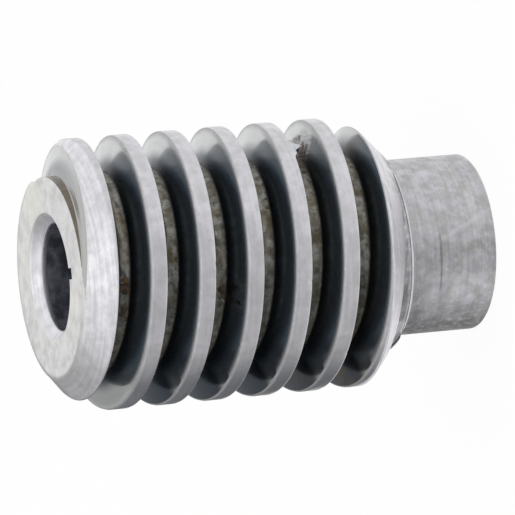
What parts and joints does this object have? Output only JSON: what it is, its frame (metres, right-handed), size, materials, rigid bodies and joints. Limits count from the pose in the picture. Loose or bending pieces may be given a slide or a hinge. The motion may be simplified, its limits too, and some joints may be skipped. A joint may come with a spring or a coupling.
{
  "type": "worm gear",
  "caption": "Steel cylindrical worm with a left-hand single-start thread, a plain hub at one end and a through bore.",
  "frame": {"origin": "centre of the hub's end face, on the bore's axis", "axes": "+Z along the bore's axis, from the hub to the threaded front face; -Y through the small slot in the bore's front mouth"},
  "size_m": [0.051, 0.051, 0.083],
  "materials": {
    "steel": "turned and milled steel with light grime in the groove"
  },
  "bodies": {
    "root": {"worm": "steel"}
  },
  "joints": []
}
